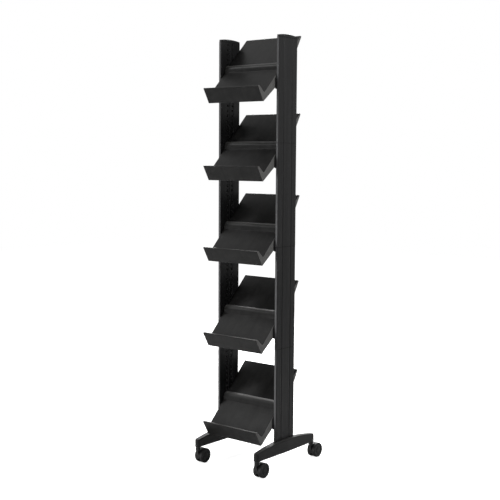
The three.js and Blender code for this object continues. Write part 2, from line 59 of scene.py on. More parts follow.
MM = 0.001
FIT_GAP = 0.3 * MM
OVERLAP = 1 * MM
MERGE_DISTANCE = 1e-6
WELD_DISTANCE = 1e-5
FLAT_ANGLE = math.radians(0.5)
SHARP_ANGLE = math.radians(40.0)
SMOOTH_ANGLE = math.radians(32.0)
EDGE_FACETS = 2
PIN_SIDES = 40
QUARTER = math.pi / 2.0

Point = tuple[float, float]
Corner = tuple[float, float, float]
Spot = tuple[float, float, float]
Colour = tuple[float, float, float]
Mesh = bpy.types.Mesh
Object = bpy.types.Object
Material = bpy.types.Material
Node = bpy.types.Node
Socket = bpy.types.NodeSocket
Group = bpy.types.NodeTree
Outputs = bpy.types.NodeOutputs


class Side(Enum):
    """The two sides of the rack, with the sign of their X."""

    LEFT = -1
    RIGHT = 1

    @property
    def label(self) -> str:
        """Name of the side as the CAD nodes spell it."""
        return self.name.lower()


class End(Enum):
    """The two ends of a foot, as the CAD nodes spell them."""

    FRONT = "front"
    REAR = "rear"


class Axis(Enum):
    """A direction that a solid or a pattern runs along, or that a face looks to."""

    X = (1.0, 0.0, 0.0)
    Y = (0.0, 1.0, 0.0)
    Z = (0.0, 0.0, 1.0)


# Meshes


def rounded_outline(corners: Sequence[Corner], steps: int = 6) -> list[Point]:
    """Round the corners of a closed outline with true arcs.

    Args:
        corners: (u, v, radius) of each corner; a radius of 0 keeps it sharp.
        steps: facets in a quarter turn.

    Returns:
        The points of the outline, in the order of the corners.
    """
    points: list[Point] = []
    for i, (u, v, radius) in enumerate(corners):
        here = Vector((u, v))
        if radius <= 0.0:
            points.append((u, v))
            continue
        back = (Vector(corners[i - 1][:2]) - here).normalized()
        ahead = (Vector(corners[(i + 1) % len(corners)][:2]) - here).normalized()
        opening = back.angle(ahead)
        reach = radius / math.tan(opening / 2.0)
        middle = here + (back + ahead).normalized() * (radius / math.sin(opening / 2.0))
        start = here + back * reach - middle
        sweep = math.copysign(math.pi - opening, back.angle_signed(ahead))
        count = max(2, math.ceil(steps * abs(sweep) / QUARTER))
        for k in range(count + 1):
            spot = start.copy()
            spot.rotate(Matrix.Rotation(sweep * k / count, 2))
            points.append(tuple(middle + spot))
    return points


def mesh_from(bm: bmesh.types.BMesh) -> Mesh:
    """Turn a bmesh into a mesh whose faces look outwards.

    Args:
        bm: the bmesh, which is freed.

    Returns:
        The mesh.
    """
    bmesh.ops.remove_doubles(bm, verts=bm.verts, dist=MERGE_DISTANCE)
    bmesh.ops.recalc_face_normals(bm, faces=bm.faces)
    mesh = bpy.data.meshes.new("solid")
    bm.to_mesh(mesh)
    bm.free()
    return mesh


def lofted(rings: Sequence[Sequence[Spot]]) -> Mesh:
    """Skin a row of closed rings and close its two ends.

    Args:
        rings: the rings, with equally many points each.

    Returns:
        A closed mesh.
    """
    bm = bmesh.new()
    loops = [[bm.verts.new(point) for point in ring] for ring in rings]
    bm.faces.new(loops[0])
    bm.faces.new(loops[-1])
    count = len(loops[0])
    for first, second in zip(loops, loops[1:]):
        for i in range(count):
            j = (i + 1) % count
            bm.faces.new((first[i], first[j], second[j], second[i]))
    return mesh_from(bm)


def prism(outline: Sequence[Point], low: float, high: float, axis: Axis) -> Mesh:
    """Run a side profile (depth, height) along Axis.X, or a plan (x, y) along Axis.Z, from low to high."""
    ends = [[(end, u, v) if axis is Axis.X else (u, v, end) for u, v in outline] for end in (low, high)]
    return lofted(ends)


def turned(profile: Sequence[Point], sides: int) -> Mesh:
    """Turn a profile about the X axis.

    Args:
        profile: (radius, along) points from axis to axis.
        sides: facets round the axis.

    Returns:
        A closed mesh.
    """
    bm = bmesh.new()
    turns = [2.0 * math.pi * k / sides for k in range(sides)]
    rings: list[list[bmesh.types.BMVert]] = []
    for radius, along in profile:
        if radius <= 0.0:
            rings.append([bm.verts.new((along, 0.0, 0.0))])
            continue
        rings.append([bm.verts.new((along, radius * math.cos(t), radius * math.sin(t))) for t in turns])
    for first, second in zip(rings, rings[1:]):
        for k in range(sides):
            n = (k + 1) % sides
            near = [first[k % len(first)], first[n % len(first)]]
            far = [second[n % len(second)], second[k % len(second)]]
            bm.faces.new(list(dict.fromkeys(near + far)))
    return mesh_from(bm)


def pin(radius: float, low: float, high: float, axis: Axis, middle: Vector) -> Mesh:
    """A plain round bar used to join or cut.

    Args:
        radius: its radius.
        low: where it starts along its axis.
        high: where it ends.
        axis: Axis.X or Axis.Z.
        middle: a point that its axis goes through.

    Returns:
        A closed mesh.
    """
    mesh = turned([(0.0, low), (radius, low), (radius, high), (0.0, high)], PIN_SIDES)
    if axis is Axis.Z:
        mesh.transform(Matrix.Rotation(-QUARTER, 4, "Y"))
    mesh.transform(Matrix.Translation(middle))
    return mesh


def new_object(data: bpy.types.ID, name: str) -> Object:
    """Link a mesh, lamp or camera to the scene as an object at the origin.

    Args:
        data: what the object shows.
        name: name of the object.

    Returns:
        The object.
    """
    made = bpy.data.objects.new(name, data)
    bpy.context.scene.collection.objects.link(made)
    return made


def settle(made: Object) -> Mesh:
    """Take the evaluated mesh of an object and delete the object.

    Args:
        made: an object with modifiers.

    Returns:
        Its mesh with every modifier applied.
    """
    graph = bpy.context.evaluated_depsgraph_get()
    mesh = bpy.data.meshes.new_from_object(made.evaluated_get(graph))
    bpy.data.objects.remove(made)
    return mesh


def combine(base: Mesh, tools: Iterable[Mesh], operation: str) -> Mesh:
    """Join tools to a mesh, or cut them out of it, one after the other.

    Args:
        base: the mesh to work on.
        tools: closed meshes.
        operation: UNION or DIFFERENCE.

    Returns:
        The combined mesh.
    """
    for tool in tools:
        work = new_object(base, "work")
        other = new_object(tool, "tool")
        step = work.modifiers.new("combine", "BOOLEAN")
        step.operation = operation
        step.solver = "EXACT"
        step.object = other
        base = settle(work)
        bpy.data.objects.remove(other)
    return base


def round_edges(made: Object, width: float) -> None:
    """Add modifiers that round every sharp edge of an object, as a moulding tool does.

    Args:
        made: the object.
        width: width of the rounding.
    """
    flat = made.modifiers.new("flat", "DECIMATE")
    flat.decimate_type = "DISSOLVE"
    flat.angle_limit = FLAT_ANGLE
    bevel = made.modifiers.new("edge", "BEVEL")
    bevel.width = width
    bevel.segments = EDGE_FACETS
    bevel.limit_method = "ANGLE"
    bevel.angle_limit = SHARP_ANGLE


def eased(mesh: Mesh, width: float) -> Mesh:
    """Round every sharp edge of a mesh.

    Args:
        mesh: the mesh to round.
        width: width of the rounding.

    Returns:
        The rounded mesh.
    """
    work = new_object(mesh, "work")
    round_edges(work, width)
    return settle(work)


def add_piece(
    mesh: Mesh, side: Side, shift: Vector, name: str, node: str, body: str, material: Material
) -> None:
    """Put a finished piece in the scene in place of a CAD node.

    Args:
        mesh: its mesh, drawn for the right side about its own origin.
        side: the side that it goes to or looks to; it is mirrored for the left one.
        shift: where its origin goes.
        name: name of the piece.
        node: the CAD node that it stands for.
        body: the CAD body that it rides on.
        material: its finish.
    """
    copy = mesh.copy()
    copy.name = name
    if side is Side.LEFT:
        copy.transform(Matrix.Diagonal((-1.0, 1.0, 1.0, 1.0)))
        copy.flip_normals()
    copy.transform(Matrix.Translation(shift))
    copy.polygons.foreach_set("use_smooth", [True] * len(copy.polygons))
    copy.set_sharp_from_angle(angle=SMOOTH_ANGLE)
    copy.update()
    copy.materials.clear()
    copy.materials.append(material)
    piece = new_object(copy, name)
    even = piece.modifiers.new("even_normals", "WEIGHTED_NORMAL")
    even.keep_sharp = True
    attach(piece, body)
    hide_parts(node)
    LOG.info("%s stands for %s on %s", name, node, body)


def dress_node(node: str, material: Material, edge: float = 0.0) -> None:
    """Give a CAD node that stays in view its finish and softened edges.

    Args:
        node: name of the node.
        material: its finish.
        edge: width of the rounding on its sharp edges, 0 for none.
    """
    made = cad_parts[node]
    made.data.materials.clear()
    made.data.materials.append(material)
    if edge > 0.0:
        weld = made.modifiers.new("weld", "WELD")
        weld.merge_threshold = WELD_DISTANCE
        round_edges(made, edge)
    LOG.info("%s keeps its CAD shape", node)


# Finishes


class NodeTree:
    """A small helper that adds and links the nodes of one tree."""

    def __init__(self, tree: Group) -> None:
        """Start on a tree."""
        self.tree = tree

    def fill(self, node: Node, inputs: dict) -> None:
        """Set the inputs of a node.

        Args:
            node: the node.
            inputs: values or output sockets by input name or number.
        """
        for key, value in inputs.items():
            if isinstance(value, Socket):
                self.tree.links.new(value, node.inputs[key])
            else:
                node.inputs[key].default_value = value

    def add(self, kind: str, inputs: dict | None = None, **settings: object) -> Node:
        """Add a node.

        Args:
            kind: Blender's name of the node type.
            inputs: values or output sockets by input name or number.
            settings: properties of the node.

        Returns:
            The node.
        """
        node = self.tree.nodes.new(kind)
        for key, value in settings.items():
            setattr(node, key, value)
        self.fill(node, inputs or {})
        return node

    def group(self, shared: Group, inputs: dict) -> Outputs:
        """Place a shared shader group with its own inputs, and give its outputs."""
        return self.add("ShaderNodeGroup", inputs, node_tree=shared).outputs

    def join(self, parts: Iterable[Socket]) -> Socket:
        """Join geometries.

        Args:
            parts: their sockets.

        Returns:
            The joined geometry.
        """
        node = self.add("GeometryNodeJoinGeometry")
        for part in parts:
            self.fill(node, {0: part})
        return node.outputs[0]

    def math(self, operation: str, *values: object, clamp: bool = False) -> Socket:
        """Add a Math node on numbers or sockets, and give its output."""
        inputs = dict(enumerate(values))
        return self.add("ShaderNodeMath", inputs, operation=operation, use_clamp=clamp).outputs[0]

    def span(self, value: Socket, low: object, high: object) -> Socket:
        """Map a value smoothly from low..high to 0..1."""
        inputs = {"Value": value, "From Min": low, "From Max": high}
        return self.add("ShaderNodeMapRange", inputs, interpolation_type="SMOOTHSTEP").outputs["Result"]

    def noise(self, where: Socket, scale: object, detail: float) -> Socket:
        """Add a Noise texture, and give its value."""
        inputs = {"Vector": where, "Scale": scale, "Detail": detail}
        return self.add("ShaderNodeTexNoise", inputs).outputs[0]

    def blend(self, factor: Socket, first: Colour | Socket, second: Colour) -> Socket:
        """Mix two colours.

        Args:
            factor: how much of the second one shows.
            first: a colour or socket.
            second: a colour.

        Returns:
            The mixed colour.
        """
        start = first if isinstance(first, Socket) else (*first, 1.0)
        inputs = {0: factor, 6: start, 7: (*second, 1.0)}
        return self.add("ShaderNodeMix", inputs, data_type="RGBA").outputs[2]

    def near(self, value: Socket, reach: Socket) -> Socket:
        """Mask that is 1 where a value is 0, and fades out at a reach either way."""
        return self.math("SUBTRACT", 1.0, self.span(self.math("ABSOLUTE", value), 0.0, reach))

    def dot(self, first: Socket, second: Socket) -> Socket:
        """Dot product of two vectors."""
        node = self.add("ShaderNodeVectorMath", {0: first, 1: second}, operation="DOT_PRODUCT")
        return node.outputs["Value"]

    def coordinate(self, vector: Socket, axis: Axis) -> Socket:
        """One coordinate of a vector."""
        return self.add("ShaderNodeSeparateXYZ", {0: vector}).outputs[axis.name]


Results = dict[str, Socket]
Recipe = Callable[[NodeTree, Outputs], Results]


class Effects:
    """Shader node groups that several finishes share, each built once."""

    def __init__(self) -> None:
        """Build every group."""
        self.grain = self.build("moulded_grain", self._grain, Grain=900.0, Pits=0.6, Blotch=14.0)
        self.streaks = self.build("drawn_streaks", self._streaks, Scale=1.0, Ratio=5.0, Share=0.3, Reach=0.2)
        self.painted_light_faces = self.build("faces_along", self._painted_light_faces, "Axis", Low=0.8, High=0.95)
        self.rubbing = self.build("rubbed_edges", self._rubbing, Radius=1.5 * MM, Patches=45.0, Amount=0.5)
        self.dust = self.build("settled_dust", self._dust, Amount=0.2, Level=0.73, Clouds=30.0, Thin=0.6)
        self.sinks = self.build("sink_marks", self._sinks, Offset=45 * MM, Reach=8 * MM)
        self.seams = self.build("seam_lines", self._seams, Start=0.0, Half=0.2, Reach=1.5 * MM)

    @staticmethod
    def build(name: str, recipe: Recipe, vector: str = "Vector", **numbers: float) -> Group:
        """Build a shader group.

        Args:
            name: name of the group.
            recipe: adds its nodes and gives its value outputs by name.
            vector: name of its vector input.
            numbers: default of each number input.

        Returns:
            The group.
        """
        group = bpy.data.node_groups.new(name, "ShaderNodeTree")
        face = group.interface
        face.new_socket(name=vector, in_out="INPUT", socket_type="NodeSocketVector")
        for key, value in numbers.items():
            face.new_socket(name=key, in_out="INPUT", socket_type="NodeSocketFloat").default_value = value
        tree = NodeTree(group)
        results = recipe(tree, tree.add("NodeGroupInput").outputs)
        for key in results:
            face.new_socket(name=key, in_out="OUTPUT", socket_type="NodeSocketFloat")
        tree.add("NodeGroupOutput", results)
        return group

    def _grain(self, tree: NodeTree, given: Outputs) -> Results:
        """Fine spark-eroded grain of a moulding tool, with slow blotches.

        Args:
            tree: the group's tree.
            given: its inputs.

        Returns:
            Its outputs.
        """
        where, scale = given["Vector"], given["Grain"]
        cells = tree.add("ShaderNodeTexVoronoi", {"Vector": where, "Scale": scale}).outputs["Distance"]
        height = tree.math("MULTIPLY_ADD", cells, given["Pits"], tree.noise(where, scale, 2.0))
        slow = tree.noise(where, given["Blotch"], 3.0)
        return {"Height": height, "Blotches": tree.span(slow, 0.3, 0.7)}

    def _streaks(self, tree: NodeTree, given: Outputs) -> Results:
        """Long drawn streaks like faint wood grain, along the axis that the vector is squeezed on.

        Args:
            tree: the group's tree.
            given: its inputs.

        Returns:
            Its outputs.
        """
        where, scale, share = given["Vector"], given["Scale"], given["Share"]
        broad = tree.noise(where, scale, 4.0)
        close = tree.noise(where, tree.math("MULTIPLY", scale, given["Ratio"]), 2.0)
        fine = tree.math("MULTIPLY", close, share)
        both = tree.math("MULTIPLY_ADD", broad, tree.math("SUBTRACT", 1.0, share), fine)
        low = tree.math("SUBTRACT", 0.5, given["Reach"])
        high = tree.math("ADD", 0.5, given["Reach"])
        return {"Streaks": tree.span(both, low, high), "Height": close}

    def _painted_light_faces(self, tree: NodeTree, given: Outputs) -> Results:
        """Mask of the faces that look along an axis, either way, where a paler colour paints light."""
        along = tree.dot(tree.add("ShaderNodeTexCoord").outputs["Normal"], given["Axis"])
        return {"Mask": tree.span(tree.math("ABSOLUTE", along), given["Low"], given["High"])}

    def _rubbing(self, tree: NodeTree, given: Outputs) -> Results:
        """Mask of edges that hands and cartons have rubbed paler.

        Args:
            tree: the group's tree.
            given: its inputs.

        Returns:
            Its outputs.
        """
        bevel = tree.add("ShaderNodeBevel", {"Radius": given["Radius"]}, samples=6).outputs[0]
        normal = tree.add("ShaderNodeNewGeometry").outputs["Normal"]
        bend = tree.math("SUBTRACT", 1.0, tree.dot(bevel, normal))
        patches = tree.span(tree.noise(given["Vector"], given["Patches"], 3.0), 0.35, 0.65)
        broken = tree.math("MULTIPLY", tree.span(bend, 0.02, 0.2), patches)
        return {"Mask": tree.math("MULTIPLY", broken, given["Amount"], clamp=True)}

    def _dust(self, tree: NodeTree, given: Outputs) -> Results:
        """Mask of the thin dust that settles on faces that look up.

        Args:
            tree: the group's tree.
            given: its inputs.

        Returns:
            Its outputs.
        """
        normal = tree.add("ShaderNodeTexCoord").outputs["Normal"]
        upward = tree.span(tree.coordinate(normal, Axis.Z), given["Level"], 1.0)
        cloud = tree.span(tree.noise(given["Vector"], given["Clouds"], 5.0), 0.25, 0.75)
        thick = tree.math("SUBTRACT", 1.0, given["Thin"])
        settled = tree.math("MULTIPLY", upward, tree.math("MULTIPLY_ADD", cloud, thick, given["Thin"]))
        return {"Mask": tree.math("MULTIPLY", settled, given["Amount"], clamp=True)}

    def _sinks(self, tree: NodeTree, given: Outputs) -> Results:
        """Mask of the faint sink marks that two ribs behind a skin leave on it."""
        across = tree.math("ABSOLUTE", tree.coordinate(given["Vector"], Axis.X))
        return {"Mask": tree.near(tree.math("SUBTRACT", across, given["Offset"]), given["Reach"])}

    def _seams(self, tree: NodeTree, given: Outputs) -> Results:
        """Mask of the dark lines where stacked pieces meet, at even heights."""
        above = tree.math("SUBTRACT", tree.coordinate(given["Vector"], Axis.Z), given["Start"])
        return {"Mask": tree.near(tree.math("PINGPONG", above, given["Half"]), given["Reach"])}


def new_material(name: str) -> tuple[Material, NodeTree, Node]:
    """Start a material.

    Args:
        name: its name.

    Returns:
        The material, a helper on its nodes, and its Principled shader.
    """
    material = bpy.data.materials.new(name)
    material.use_nodes = True
    return material, NodeTree(material.node_tree), material.node_tree.nodes["Principled BSDF"]


@dataclass(frozen=True)
class Moulding:
    """A black moulded plastic."""

    name: str
    colour: Colour
    pale: Colour
    roughness: float
    specular: float = 0.2
    rough_spread: float = 0.08
    blotch_show: float = 0.15
    streak_axis: Axis = Axis.Z
    streak_scale: float = 55.0
    streak_stretch: float = 0.03
    streak_show: float = 0.5
    streak_height: float = 0.5
    grain_height: float = 0.04 * MM
    # Faces that look along this axis take the paler colour below, which paints light on them.
    painted_light_axis: Axis | None = None
    painted_light_colour: Colour = (0.05, 0.05, 0.05)
    sink_offset: float = 0.0
    sink_show: float = 0.6
    # Paler colour of the marked ledge nose, a painted highlight, and how sharply it gathers on the faces that
    # look up.
    painted_highlight_colour: Colour | None = None
    painted_highlight_power: float = 3.0
    seam_start: float = 0.0
    seam_pitch: float = 0.0
    seam_colour: Colour = (0.0, 0.0, 0.0)
    rub: float = 0.35
    rub_colour: Colour = (0.12, 0.12, 0.122)
    dust: float = 0.1
    dust_colour: Colour = (0.16, 0.157, 0.152)
    dust_rough: float = 0.4

    def make(self, effects: Effects) -> Material:
        """Build the material.

        Args:
            effects: the shared shader groups.

        Returns:
            The material.
        """
        material, tree, shader = new_material(self.name)
        spots = tree.add("ShaderNodeTexCoord").outputs
        where = spots["Object"]
        squeeze = Vector([self.streak_stretch if c else 1.0 for c in self.streak_axis.value])
        drawn = tree.add("ShaderNodeMapping", {"Vector": where, "Scale": squeeze}).outputs[0]
        grain = tree.group(effects.grain, {"Vector": where})
        streaks = tree.group(effects.streaks, {"Vector": drawn, "Scale": self.streak_scale})
        rub = tree.group(effects.rubbing, {"Vector": where, "Amount": self.rub})["Mask"]
        dust = tree.group(effects.dust, {"Vector": where, "Amount": self.dust})["Mask"]

        veins = tree.math("MULTIPLY", streaks["Streaks"], self.streak_show)
        mottled = tree.math("MULTIPLY_ADD", grain["Blotches"], self.blotch_show, veins, clamp=True)
        colour = tree.blend(mottled, self.colour, self.pale)
        if self.sink_offset > 0.0:
            sinks = tree.group(effects.sinks, {"Vector": where, "Offset": self.sink_offset})["Mask"]
            colour = tree.blend(tree.math("MULTIPLY", sinks, self.sink_show), colour, self.colour)
        # Painted light: faces along the axis turn paler, standing in for the light that falls on the
        # uprights' front and back faces and on the shelves' end faces.
        if self.painted_light_axis is not None:
            painted_light_faces = tree.group(effects.painted_light_faces, {"Axis": self.painted_light_axis.value})["Mask"]
            colour = tree.blend(painted_light_faces, colour, self.painted_light_colour)
        # Painted highlight: the marked ledge nose turns paler the more it faces up, standing in for light
        # from above.
        if self.painted_highlight_colour is not None:
            ledge_marks = tree.add("ShaderNodeAttribute", attribute_name=LEDGE_HIGHLIGHT).outputs["Fac"]
            upward = tree.math("MAXIMUM", tree.coordinate(spots["Normal"], Axis.Z), 0.0)
            painted_highlight = tree.math("MULTIPLY", ledge_marks, tree.math("POWER", upward, self.painted_highlight_power), clamp=True)
            colour = tree.blend(painted_highlight, colour, self.painted_highlight_colour)
        colour = tree.blend(rub, colour, self.rub_colour)
        colour = tree.blend(dust, colour, self.dust_colour)

        smoothest = self.roughness - self.rough_spread / 2.0
        rough = tree.math("MULTIPLY_ADD", grain["Blotches"], self.rough_spread, smoothest)
        rough = tree.math("MULTIPLY_ADD", dust, self.dust_rough, rough, clamp=True)
        if self.seam_pitch > 0.0:
            lines = {"Vector": where, "Start": self.seam_start, "Half": self.seam_pitch / 2.0}
            seams = tree.group(effects.seams, lines)["Mask"]
            colour = tree.blend(seams, colour, self.seam_colour)
            rough = tree.math("MAXIMUM", rough, seams)

        relief = tree.math("MULTIPLY_ADD", streaks["Height"], self.streak_height, grain["Height"])
        bump = tree.add("ShaderNodeBump", {"Height": relief, "Distance": self.grain_height, "Strength": 1.0})
        tree.fill(shader, {"Base Color": colour, "Roughness": rough, "Normal": bump.outputs[0]})
        tree.fill(shader, {"Specular IOR Level": self.specular})
        return material


@dataclass(frozen=True)
class PlatedSteel:
    """Plated steel of the stems, axles and screws."""

    name: str = "plated_steel"
    colour: Colour = (0.50, 0.50, 0.49)
    dull: Colour = (0.30, 0.30, 0.31)
    roughness: float = 0.32
    rough_spread: float = 0.12
    grain: float = 2200.0
    grain_height: float = 0.02 * MM
    blotch: float = 120.0

    def make(self, effects: Effects) -> Material:
        """Build the material.

        Args:
            effects: the shared shader groups.

        Returns:
            The material.
        """
        material, tree, shader = new_material(self.name)
        where = tree.add("ShaderNodeTexCoord").outputs["Object"]
        grain = tree.group(effects.grain, {"Vector": where, "Grain": self.grain, "Blotch": self.blotch})
        colour = tree.blend(grain["Blotches"], self.colour, self.dull)
        rough = tree.math("MULTIPLY_ADD", grain["Blotches"], self.rough_spread, self.roughness)
        bump = tree.add("ShaderNodeBump", {"Height": grain["Height"], "Distance": self.grain_height})
        tree.fill(shader, {"Base Color": colour, "Roughness": rough, "Normal": bump.outputs[0]})
        tree.fill(shader, {"Metallic": 1.0})
        return material


# The paler front and back faces of the uprights are painted light.
UPRIGHT_FINISH = Moulding(
    "upright_moulding", (0.0035, 0.0035, 0.0037), (0.011, 0.011, 0.0113), 0.46, specular=0.15,
    streak_show=0.75, painted_light_axis=Axis.Y, painted_light_colour=(0.058, 0.058, 0.06), dust=0.06,
)
SHELF_FINISH = Moulding(
    "shelf_moulding", (0.005, 0.005, 0.005), (0.013, 0.0128, 0.0124), 0.38, specular=0.1,
    streak_axis=Axis.Y, streak_scale=38.0, streak_stretch=0.04, streak_show=0.55,
    # The paler end faces of the shelves are painted light.
    painted_light_axis=Axis.X, painted_light_colour=(0.085, 0.084, 0.082), sink_offset=45 * MM,
    # The paler ledge nose of the shelves is a painted highlight.
    painted_highlight_colour=(0.055, 0.0546, 0.0537), dust=0.35,
)
FOOT_FINISH = Moulding(
    "foot_moulding", (0.0035, 0.0035, 0.0037), (0.009, 0.009, 0.0092), 0.42, specular=0.13,
    streak_axis=Axis.Y, streak_show=0.3, dust=0.2,
)
BRACKET_FINISH = Moulding(
    "bracket_moulding", (0.002, 0.002, 0.0021), (0.005, 0.005, 0.0051), 0.55, streak_show=0.2, rub=0.2,
)
CASTER_FINISH = Moulding(
    "caster_moulding", (0.003, 0.003, 0.0031), (0.007, 0.007, 0.0072), 0.4, streak_show=0.15, dust=0.05,
)
WHEEL_FINISH = Moulding(
    "wheel_moulding", (0.002, 0.002, 0.0021), (0.005, 0.005, 0.005), 0.5, streak_show=0.2, rub=0.5, dust=0.0,
)
BLACK_STEEL = PlatedSteel("black_steel", (0.03, 0.03, 0.031), (0.015, 0.015, 0.016), 0.45)


# Sub-assemblies


@dataclass
class Uprights:
    """Two uprights of stacked modules, each with flutes outside and two hole columns inside."""

    depth: float = 116 * MM
    thickness: float = 11 * MM
    outer_round: float = 3.5 * MM
    inner_round: float = 1.5 * MM
    modules: int = 4
    tongue: float = 8 * MM
    seam_gap: float = 0.02 * MM
    flute_offset: float = 26 * MM
    flute_width: float = 7 * MM
    flute_depth: float = 2.2 * MM
    flute_edge: float = 0.8 * MM
    flute_round: float = 2.4 * MM
    channel_inner: float = 2.2 * MM
    channel_outer: float = 21 * MM
    channel_depth: float = 1.2 * MM
    channel_round: float = 0.4 * MM
    hole_count: int = 20
    hole_pitch: float = 19.75 * MM
    hole_offset: float = 13.7 * MM
    hole_width: float = 8 * MM
    hole_height: float = 10 * MM
    hole_corner: float = 2.5 * MM
    hole_facets: int = 4
    hole_depth: float = 7.2 * MM
    edge: float = 0.45 * MM
    cap_edge: float = 0.8 * MM

    def section(self) -> list[Point]:
        """Outline of a module, x outwards from its inner face.

        Returns:
            Its points.
        """
        half = self.depth / 2.0
        outer = self.thickness

        def flute(middle: float) -> list[Corner]:
            """Corners of a shallow round groove in the outer face."""
            reach = self.flute_width / 2.0
            return [
                (outer, middle - reach, self.flute_edge),
                (outer - self.flute_depth, middle, self.flute_round),
                (outer, middle + reach, self.flute_edge),
            ]

        def channel(start: float, stop: float) -> list[Corner]:
            """Corners of a flat channel in the inner face."""
            deep = [(self.channel_depth, y, self.channel_round) for y in (start, stop)]
            return [(0.0, start, 0.0), *deep, (0.0, stop, 0.0)]

        return rounded_outline([
            (0.0, -half, self.inner_round),
            (outer, -half, self.outer_round),
            *flute(-self.flute_offset),
            *flute(self.flute_offset),
            (outer, half, self.outer_round),
            (0.0, half, self.inner_round),
            *channel(self.channel_outer, self.channel_inner),
            *channel(-self.channel_inner, -self.channel_outer),
        ])

    def inputs(self, finish: Material) -> dict[str, object]:
        """Named inputs of the module's geometry nodes.

        Args:
            finish: the upright's material.

        Returns:
            Their values by name.
        """
        return {
            "Height": self.hole_count * self.hole_pitch - self.seam_gap,
            "Hole Pitch": self.hole_pitch,
            "Column Offset": self.hole_offset,
            "Hole Width": self.hole_width,
            "Hole Height": self.hole_height,
            "Hole Depth": self.hole_depth,
            "Hole Corner": self.hole_corner,
            "Hole Count": self.hole_count,
            "Finish": finish,
        }

    def tree(self, inputs: dict[str, object]) -> tuple[Group, dict[str, str]]:
        """Geometry nodes that raise a section and punch its two columns of peg holes.

        Args:
            inputs: the named inputs.

        Returns:
            The tree, and the identifier of each named input.
        """
        group = bpy.data.node_groups.new("upright_module", "GeometryNodeTree")
        face = group.interface
        face.new_socket(name="Section", in_out="INPUT", socket_type="NodeSocketGeometry")
        kinds = {float: "NodeSocketFloat", int: "NodeSocketInt", Material: "NodeSocketMaterial"}
        names: dict[str, str] = {}
        for name, value in inputs.items():
            made = face.new_socket(name=name, in_out="INPUT", socket_type=kinds[type(value)])
            names[name] = made.identifier
        face.new_socket(name="Module", in_out="OUTPUT", socket_type="NodeSocketGeometry")
        tree = NodeTree(group)
        given = tree.add("NodeGroupInput").outputs

        def vector(**parts: Socket) -> Socket:
            """Vector with the named coordinates."""
            return tree.add("ShaderNodeCombineXYZ", parts).outputs[0]

        def raised(flat: Socket, height: Socket) -> Socket:
            """Close a block over a flat face.

            Args:
                flat: the face.
                height: how far it is raised.

            Returns:
                The block.
            """
            lifted = tree.add("GeometryNodeExtrudeMesh", {"Mesh": flat, "Offset Scale": height})
            floor = tree.add("GeometryNodeFlipFaces", {"Mesh": flat})
            both = tree.join((lifted.outputs["Mesh"], floor.outputs[0]))
            merge = {"Geometry": both, "Distance": MERGE_DISTANCE}
            return tree.add("GeometryNodeMergeByDistance", merge).outputs[0]

        body = raised(given["Section"], given["Height"])
        sides = {"Width": given["Hole Width"], "Height": given["Hole Height"]}
        quad = tree.add("GeometryNodeCurvePrimitiveQuadrilateral", sides)
        corners = {"Count": self.hole_facets, "Radius": given["Hole Corner"], "Limit Radius": True}
        fillet = tree.add("GeometryNodeFilletCurve", {"Curve": quad.outputs[0], **corners}, mode="POLY")
        flat = tree.add("GeometryNodeFillCurve", {"Curve": fillet.outputs[0]}, mode="NGONS")
        punch = raised(flat.outputs[0], tree.math("MULTIPLY", given["Hole Depth"], 2.0))
        place = {
            "Translation": vector(X=tree.math("MULTIPLY", given["Hole Depth"], -1.0)),
            "Rotation": (QUARTER, 0.0, QUARTER),
        }
        punch = tree.add("GeometryNodeTransform", {"Geometry": punch, **place}).outputs[0]
        first = tree.math("MULTIPLY", given["Hole Pitch"], 0.5)
        row = {"Count": given["Hole Count"], "Offset": vector(Z=given["Hole Pitch"])}
        columns = []
        for way in (-1.0, 1.0):
            start = vector(Y=tree.math("MULTIPLY", given["Column Offset"], way), Z=first)
            columns.append(tree.add("GeometryNodeMeshLine", {"Start Location": start, **row}).outputs[0])
        holes = {"Points": tree.join(columns), "Instance": punch}
        punches = tree.add("GeometryNodeInstanceOnPoints", holes)
        tools = tree.add("GeometryNodeRealizeInstances", {"Geometry": punches.outputs[0]})
        cut = {"Mesh 1": body, "Mesh 2": tools.outputs[0]}
        pierced = tree.add("GeometryNodeMeshBoolean", cut, operation="DIFFERENCE")
        whole = tree.add("GeometryNodeRealizeInstances", {"Geometry": pierced.outputs[0]})
        finish = {"Geometry": whole.outputs[0], "Material": given["Finish"]}
        dressed = tree.add("GeometryNodeSetMaterial", finish)
        tree.add("NodeGroupOutput", {0: dressed.outputs[0]})
        return group, names

    def module(self, finish: Material) -> Mesh:
        """Model one right-hand module that stands on z = 0.

        Args:
            finish: its material.

        Returns:
            Its mesh.
        """
        bm = bmesh.new()
        bm.faces.new([bm.verts.new((x, y, 0.0)) for x, y in self.section()])
        flat = mesh_from(bm)
        if flat.polygons[0].normal.z < 0.0:
            flat.flip_normals()
        work = new_object(flat, "module_work")
        inputs = self.inputs(finish)
        step = work.modifiers.new("module", "NODES")
        step.node_group, names = self.tree(inputs)
        for name, value in inputs.items():
            step[names[name]] = value
        return eased(settle(work), self.edge)

    def seamed(self, finish: Moulding) -> Moulding:
        """Finish with dark lines where the modules meet."""
        low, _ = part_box(f"{Side.RIGHT.label}_upright_module_1")
        return replace(finish, seam_start=low.z + self.tongue, seam_pitch=self.hole_count * self.hole_pitch)

    def build(self, finish: Material) -> None:
        """Make every module, and dress the caps.

        Args:
            finish: the upright's material.
        """
        module = self.module(finish)
        for side in Side:
            for number in range(1, self.modules + 1):
                node = f"{side.label}_upright_module_{number}"
                low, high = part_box(node)
                inner = high.x if side is Side.LEFT else low.x
                shift = Vector((inner, (low.y + high.y) / 2.0, low.z + self.tongue))
                name = f"{side.label}_fluted_module_{number}"
                add_piece(module, side, shift, name, node, RACK_BODY, finish)
            dress_node(f"{side.label}_upright_cap", finish, self.cap_edge)


